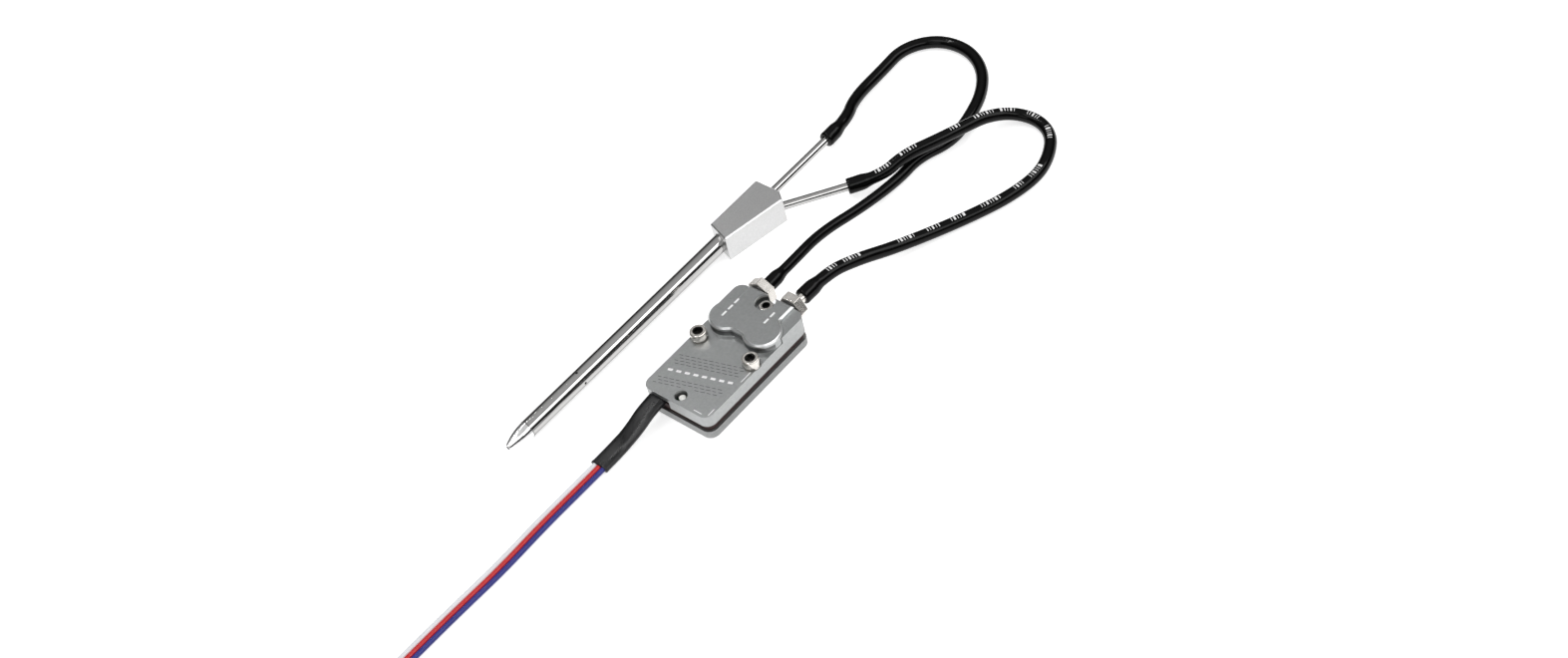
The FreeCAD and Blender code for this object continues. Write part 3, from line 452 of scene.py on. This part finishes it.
# round the lamp's well the deck is left bare: the middle of that place, and its radius squared
BARE_X, BARE_SQUARED = 2.5, 5.5
grooves = []
for number, place in enumerate(GROOVE_ROWS):
    for index in range(GROOVE_COUNT):
        y = GROOVE_REACH - 2 * GROOVE_REACH * (index + 0.5 * (number % 2)) / GROOVE_COUNT
        x = place + y * lean
        if DECK_START < x < DECK_END and (x - BARE_X) ** 2 + y ** 2 > BARE_SQUARED:
            length = GROOVE_LENGTH + GROOVE_GROWTH * (index % 3)
            grooves.append((x, y, length, GROOVE_WIDTH, SLOPE))
marks("deck_grooves", grooves, deck_top, GROOVE_HEIGHT, groove_dark)

BAR_X, BAR_REACH, BAR_COUNT = 8.55, 6.9, 8
PRINT_HEIGHT = 0.012
bars = []
for index in range(BAR_COUNT):
    y = BAR_REACH - 2 * BAR_REACH * index / (BAR_COUNT - 1)
    bars.append((BAR_X + y * lean, y, 1.15, 0.62, SLOPE))
marks("deck_bars", bars, deck_top, PRINT_HEIGHT, print_white)

# painted highlight: broken white strips along the deck's edge chamfer and at its corner by the
# cable end
EDGE_HIGHLIGHT_HEIGHT = 0.010
marks("deck_edge_highlight", [(2.2, -8.75, 2.0, 0.22, 0), (13.4, -8.75, 3.2, 0.22, 0),
                      (0.75, -6.2, 0.22, 2.2, 0)], deck_top, EDGE_HIGHLIGHT_HEIGHT, print_white)

BOSS_BARS = ((23.6, 5.6), (25.7, 5.6), (27.8, 5.6), (26.6, -3.9), (28.7, -3.9))
marks("boss_bars", [(x, y, 1.5, 0.5, 0) for x, y in BOSS_BARS], boss_top, PRINT_HEIGHT,
      print_white)

# ---------------------------------------------------------------- lines of cords

LINE_STEPS = 24


def line_of(points):
    """Points along a smooth line that has these control points, in metres."""
    curve = bpy.data.curves.new("line", "CURVE")
    curve.dimensions = "3D"
    curve.resolution_u = LINE_STEPS
    spline = curve.splines.new("NURBS")
    spline.points.add(len(points) - 1)
    for spot, point in zip(spline.points, points):
        spot.co = (point[0] * MM, point[1] * MM, point[2] * MM, 1)
    spline.order_u = 3
    spline.use_endpoint_u = True
    thing = bpy.data.objects.new("line", curve)
    bpy.context.scene.collection.objects.link(thing)
    bpy.context.view_layer.update()
    mesh = bpy.data.meshes.new_from_object(thing)
    spots = [vertex.co.copy() for vertex in mesh.vertices]
    bpy.data.objects.remove(thing)
    bpy.data.curves.remove(curve)
    bpy.data.meshes.remove(mesh)
    return spots


def refine(spots, step):
    """The same line with a spot at least every step."""
    out = [spots[0]]
    for a, b in zip(spots, spots[1:]):
        count = max(1, math.ceil((b - a).length / step))
        out += [a.lerp(b, index / count) for index in range(1, count + 1)]
    return out


def length_of(spots):
    """The length of the line through the spots."""
    return sum((b - a).length for a, b in zip(spots, spots[1:]))


def frames_along(spots):
    """For each spot, how far along it is, its direction, and level and upright sides."""
    out, gone = [], 0.0
    for index, spot in enumerate(spots):
        if index:
            gone += (spot - spots[index - 1]).length
        before, after = spots[max(index - 1, 0)], spots[min(index + 1, len(spots) - 1)]
        ahead = (after - before).normalized()
        side = Vector((0, 0, 1)).cross(ahead).normalized()
        out.append((gone, spot, ahead, side, ahead.cross(side).normalized()))
    return out


# ---------------------------------------------------------------- the hoses

# in mm: the hose, its stretched cuffs, and the rounded lip at each end
HOSE_RADIUS = 1.5
CUFF_RADIUS, CUFF_LENGTH, CUFF_TAPER = 1.9, 3.2, 2.9
LIP_LENGTH, LIP_DROP = 0.25, 0.12
# in mm along the hose: where a slimming hose starts to, and over how much; its cuff slims less
SLIM_START, SLIM_RUN = 84, 34
CUFF_SHARE = 0.8
# in metres: the step along a hose, and its bore at both ends, with the width of the bore's rim
HOSE_STEP = 0.0006
HOSE_BORE, BORE_DEPTH, BORE_RIM = 0.00108, 0.0035, 0.0002
HOSE_AROUND = 20

# control points in mm, as in the part's source, and rounded at the starts
DYNAMIC_ROUTE = [
    (29.36, 0, 3.5), (36.86, 0, 3.5), (44.5, 4, 2.4), (56.5, 5, 1.5), (65, 5.5, 1.5),
    (71.5, 0, 1.5), (72.5, -8.5, 1.5), (68.5, -16, 1.5), (61.5, -21, 1.5), (53, -23.5, 1.5),
    (45, -24.5, 1.5), (37, -21, 1.5), (29, -21.5, 1.5), (17, -21, 3), (4, -19.5, 5.3),
    (-7, -21, 7), (-16, -21, 7)]
STATIC_ROUTE = [
    (19.88, -14.19, 3.5), (26.31, -18.95, 3.5), (33, -20.5, 5.2), (41.5, -24.5, 5.2),
    (48, -27, 5), (53.8, -28.8, 4.2), (58.6, -32.3, 2.8), (60.4, -38, 1.8), (58, -43.4, 1.5),
    (52.5, -46.8, 1.5), (46, -48.5, 1.5), (37.5, -47, 1.5), (29, -43.5, 1.5),
    (19.5, -39, 1.8), (9.5, -35, 3.4), (2, -32.5, 5.8), (-5.8, -29.8, 7), (-14.3, -29.8, 7)]


def eased(share):
    """A share from 0 to 1 that starts and ends gently."""
    return 3 * share ** 2 - 2 * share ** 3


def hose_radius(gone, total, slim=0.0):
    """Stretched cuffs at both ends, and between them a hose that may slim to its far end."""
    share = min(max((gone / MM - SLIM_START) / SLIM_RUN, 0), 1)
    radius = HOSE_RADIUS - slim * eased(share)
    cuff = CUFF_RADIUS - CUFF_SHARE * slim * share
    near = min(gone, total - gone) / MM
    if near < LIP_LENGTH:
        grown = cuff - LIP_DROP * (1 - near / LIP_LENGTH) ** 2
    elif near < CUFF_LENGTH:
        grown = cuff
    elif near < CUFF_LENGTH + CUFF_TAPER:
        grown = cuff + (radius - cuff) * eased((near - CUFF_LENGTH) / CUFF_TAPER)
    else:
        grown = radius
    return grown * MM


def hose_tube(name, spots, slim):
    """A round hose along the spots, with a blind bore in each end."""
    stations = frames_along(spots)
    total = stations[-1][0]
    rim = HOSE_BORE + BORE_RIM
    _, spot, ahead, side, rise = stations[0]
    rings = [ring_of(spot + ahead * BORE_DEPTH, side, rise, HOSE_BORE, HOSE_AROUND)]
    rings += [ring_of(spot, side, rise, radius, HOSE_AROUND) for radius in (HOSE_BORE, rim)]
    rings += [ring_of(spot, side, rise, hose_radius(gone, total, slim), HOSE_AROUND)
              for gone, spot, _, side, rise in stations]
    _, spot, ahead, side, rise = stations[-1]
    rings += [ring_of(spot, side, rise, radius, HOSE_AROUND) for radius in (rim, HOSE_BORE)]
    rings.append(ring_of(spot - ahead * BORE_DEPTH, side, rise, HOSE_BORE, HOSE_AROUND))
    verts, faces = loft(rings)
    return piece_of(name, verts, faces, [hose_black])


def hose(name, route, node, slim=0.0):
    """A hose along its route, in place of a CAD node; it gives back the spots of its middle."""
    spots = refine(line_of(route), HOSE_STEP)
    piece = hose_tube(name, spots, slim)
    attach(piece, "root")
    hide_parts(node)
    length_of(spots)
    [tuple(spot) for spot in spots]
    return spots


hose("dynamic_hose_tube", DYNAMIC_ROUTE, "dynamic_hose", slim=0.26)
static_line = hose("static_hose_tube", STATIC_ROUTE, "static_hose")

# ---------------------------------------------------------------- ticks on the static hose

# in mm: how far a tick stands out and lies in, and the gap to the next tick of its group
TICK_PROUD, TICK_SUNK, TICK_GAP = 0.014, 0.03, 0.42
# an arc over the top of the hose, in degrees from its level side, and the spots along it
TICK_FROM, TICK_ARC, TICK_SPOTS = 68, 44, 7
# in metres, fine enough for the narrowest tick
TICK_STEP = 0.00008
# the widths of a group's ticks, and where the groups start along the hose, in mm
TICKS = (0.25, 0.6, 0.25, 0.25, 0.5, 0.25)
TICK_STARTS = (7, 14, 27, 33.5, 40, 46.5, 53, 66, 72.5, 79, 88, 94.5, 101, 115, 121)


def tick_outline(spot, side, rise, radius):
    """A tick's outline across the hose: along its face, and back along its sunk side."""
    outline = []
    for lift, steps in ((TICK_PROUD, range(TICK_SPOTS)),
                        (-TICK_SUNK, reversed(range(TICK_SPOTS)))):
        reach = radius + lift * MM
        for step in steps:
            turn = math.radians(TICK_FROM + TICK_ARC * step / (TICK_SPOTS - 1))
            outline.append(spot + side * (reach * math.cos(turn))
                           + rise * (reach * math.sin(turn)))
    return outline


def hose_ticks(name, spots, groups):
    """Plain printed ticks along the upper side of a hose, lying on its round surface."""
    stations = frames_along(spots)
    total = stations[-1][0]
    verts, faces = [], []
    for place, pattern in groups:
        for width in pattern:
            outlines = [tick_outline(spot, side, rise, hose_radius(gone, total))
                        for gone, spot, _, side, rise in stations
                        if place <= gone / MM <= place + width]
            place += width + TICK_GAP
            more_verts, more_faces = loft(outlines, len(verts))
            verts += more_verts
            faces += more_faces
    thing = piece_of(name, verts, faces, [print_white])
    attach(thing, "root")


hose_ticks("static_hose_ticks", refine(static_line, TICK_STEP),
           [(start, TICKS[index % 3:] + TICKS[:index % 2])
            for index, start in enumerate(TICK_STARTS)])

# ---------------------------------------------------------------- the three-core lead, in mm

# it runs from the case's slot through the sleeve and along the floor into a flat coil, which
# winds in from an outer to an inner turn and ends in a tighter tail to the plug
COIL = (-146.0, -40.3)
OUTER_TURN, INNER_TURN, TAIL_TURN, COIL_Z = 21.5, 17.8, 10.5, 0.95
# degrees: half the step between the outer turn's points, and where the tail leaves the coil
HALF_STEP = 12
LEAVING = -110
# how far the outer turn has wound in at its first point, and has still to at its last
WOUND = 0.12


def turn_points(centre, radius_from, radius_to, start, end, count):
    """Control points round a flat turn whose radius changes from one end to the other."""
    out = []
    for index in range(count):
        share = index / (count - 1)
        angle = math.radians(start + (end - start) * share)
        radius = radius_from + (radius_to - radius_from) * share
        radius /= math.cos(math.radians((end - start) / (count - 1) / 2))
        out.append((centre[0] + radius * math.cos(angle), centre[1] + radius * math.sin(angle),
                    COIL_Z))
    return out


# The first two points stand at y -20, 1.2 mm beside the slot's middle at -21.2 in the part's
# source, so the sleeve cuts into the slot's wall there.
LEAD_ROUTE = [
    (-48.6, -20, 5), (-54.5, -20, 5), (-60, -20, 3.1), (-65, -18.8, 0.9), (-70.4, -18.8, 0.9),
    (-77, -18.8, 0.9), (-88, -18.5, 0.585), (-101, -19, 0.585), (-114, -18.6, 0.585),
    (-125, -18.8, 0.95), (-133.5, -18.8, 0.95)]
SLEEVE_ROUTE = LEAD_ROUTE[:5]
leaving = math.radians(LEAVING)
tail_centre = (COIL[0] + (INNER_TURN - TAIL_TURN) * math.cos(leaving),
               COIL[1] + (INNER_TURN - TAIL_TURN) * math.sin(leaving))
LEAD_ROUTE += [(COIL[0] + OUTER_TURN * math.tan(math.radians(HALF_STEP)),
                COIL[1] + OUTER_TURN, COIL_Z)]
LEAD_ROUTE += turn_points(COIL, OUTER_TURN - WOUND, INNER_TURN + WOUND, 102, 438, 15)
LEAD_ROUTE += turn_points(COIL, INNER_TURN, INNER_TURN, 461.43, 598.57, 7)
LEAD_ROUTE += turn_points(tail_centre, TAIL_TURN, TAIL_TURN, 621, 709, 5)
plug_low, plug_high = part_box("lead_plug")
plug_mid = Vector(((plug_low[0] + plug_high[0]) / 2, plug_low[1], 0)) / MM
LEAD_ROUTE += [(plug_mid.x, plug_mid.y, COIL_Z)]

CORE_RADIUS = 0.585
CORE_PITCH = 1.165
CORE_AROUND = 12
# in metres along the lead
LEAD_STEP = 0.0008


def lead_ribbon(name, route):
    """Three round cores side by side, and the spots of their middle line."""
    spots = refine(line_of(route), LEAD_STEP)
    stations = frames_along(spots)
    verts, faces, indices = [], [], []
    for number, offset in enumerate((CORE_PITCH, 0, -CORE_PITCH)):
        rings = [ring_of(spot - side * (offset * MM), side, rise, CORE_RADIUS * MM, CORE_AROUND)
                 for _, spot, _, side, rise in stations]
        more_verts, more_faces = loft(rings, len(verts))
        verts += more_verts
        faces += more_faces
        indices += [number] * len(more_faces)
    return piece_of(name, verts, faces, [core_white, core_red, core_blue], indices), spots


lead, lead_line = lead_ribbon("lead_ribbon", LEAD_ROUTE)
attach(lead, "root")
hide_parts("three_core_lead", "lead_coil")

# ---------------------------------------------------------------- the lead's sleeve, in mm

SLEEVE_HALF_WIDTH, SLEEVE_HALF_HEIGHT = 2.28, 0.80
# powers that square the round section off: the lower, the squarer
SLEEVE_SQUARE_ACROSS, SLEEVE_SQUARE_UP = 0.62, 0.72
SHOULDER_RISE, SHOULDER_PITCH = 0.035, 1.17
FLARE, FLARE_RUN = 0.03, 0.5
SLEEVE_AROUND = 36
# in metres along the sleeve
SLEEVE_STEP = 0.0005


def squared(share, power):
    """A share from -1 to 1, brought nearer to its end by a power below 1."""
    return math.copysign(abs(share) ** power, share)


def sleeve_tube(name, route):
    """Shrunk tube over the lead: a flattened section with soft shoulders over the cores."""
    stations = frames_along(refine(line_of(route), SLEEVE_STEP))
    total = stations[-1][0]
    sections = []
    for gone, spot, _, side, rise in stations:
        flare = 1.0 + FLARE * math.exp(-min(gone, total - gone) / (FLARE_RUN * MM))
        section = []
        for step in range(SLEEVE_AROUND):
            turn = 2 * math.pi * step / SLEEVE_AROUND
            across = squared(math.cos(turn), SLEEVE_SQUARE_ACROSS) * SLEEVE_HALF_WIDTH * MM * flare
            up = squared(math.sin(turn), SLEEVE_SQUARE_UP) * SLEEVE_HALF_HEIGHT * MM
            up *= 1 + SHOULDER_RISE * math.cos(across / MM * 2 * math.pi / SHOULDER_PITCH)
            section.append(spot + side * across + rise * up)
        sections.append(section)
    verts, faces = loft(sections)
    return piece_of(name, verts, faces, [sleeve_black])


sleeve = sleeve_tube("shrunk_sleeve", SLEEVE_ROUTE)
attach(sleeve, "root")
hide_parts("cable_sleeve")
length_of(lead_line)
[tuple(spot) for spot in lead_line]

# ---------------------------------------------------------------- floor, in metres

FLOOR_HALF = 6.0
FLOOR_Z = -0.00012
FLOOR_GLOW = 0.62
corners = [(x * FLOOR_HALF, y * FLOOR_HALF, FLOOR_Z)
           for x, y in ((-1, -1), (1, -1), (1, 1), (-1, 1))]
floor_mesh = bpy.data.meshes.new("floor")
floor_mesh.from_pydata(corners, [], [(0, 1, 2, 3)])
floor = bpy.data.objects.new("floor", floor_mesh)
bpy.context.scene.collection.objects.link(floor)
paper = bpy.data.materials.new("paper")
tree, links, shader = nodes_of(paper)
shader.inputs["Base Color"].default_value = (0.8, 0.8, 0.8, 1)
shader.inputs["Roughness"].default_value = 0.9
shader.inputs["Specular IOR Level"].default_value = 0.0
# the floor glows only to the camera and in what metal and glass show of it
rays = tree.nodes.new("ShaderNodeLightPath").outputs
seen = maths(tree, "MAXIMUM", rays["Is Camera Ray"], rays["Is Glossy Ray"])
seen = maths(tree, "MAXIMUM", seen, rays["Is Transmission Ray"])
shader.inputs["Emission Color"].default_value = (1, 1, 1, 1)
links.new(maths(tree, "MULTIPLY", seen, FLOOR_GLOW), shader.inputs["Emission Strength"])
floor_mesh.materials.append(paper)

# ---------------------------------------------------------------- world and lamps

world = bpy.data.worlds.new("studio")
bpy.context.scene.world = world
world.use_nodes = True
sky = world.node_tree
backdrop = sky.nodes["Background"]
towards = sky.nodes.new("ShaderNodeTexCoord")
parts_of = sky.nodes.new("ShaderNodeSeparateXYZ")
sky.links.new(towards.outputs["Generated"], parts_of.inputs["Vector"])
height = ramp_of(sky, [(0.0, 0.02), (0.34, 0.04), (0.58, 0.26), (0.72, 0.42), (1.0, 0.62)])
sky.links.new(parts_of.outputs["Z"], height.inputs["Fac"])
sky.links.new(height.outputs["Color"], backdrop.inputs["Color"])
backdrop.inputs["Strength"].default_value = 1.0


def softbox(name, spot, aim, width, height, power):
    """A rectangular lamp at a spot, aimed at another, in metres and watts."""
    data = bpy.data.lights.new(name, "AREA")
    data.shape = "RECTANGLE"
    data.size = width
    data.size_y = height
    data.energy = power
    lamp = bpy.data.objects.new(name, data)
    bpy.context.scene.collection.objects.link(lamp)
    lamp.location = spot
    lamp.rotation_euler = (Vector(aim) - Vector(spot)).to_track_quat("-Z", "Y").to_euler()


softbox("front", (0.38, -0.62, 0.72), (0.0, -0.02, 0), 1.1, 0.40, 4.0)
softbox("over", (-0.40, 0.10, 0.95), (-0.02, -0.02, 0), 0.5, 0.5, 1.6)
softbox("near", (-0.30, -0.62, 0.75), (0.0, -0.02, 0), 0.5, 0.36, 1.4)
softbox("left", (-0.85, -0.25, 0.45), (-0.02, -0.02, 0), 0.5, 0.35, 0.7)
softbox("strip", (-0.10, 0.42, 0.90), (0.0, -0.02, 0), 0.8, 0.008, 1.6)
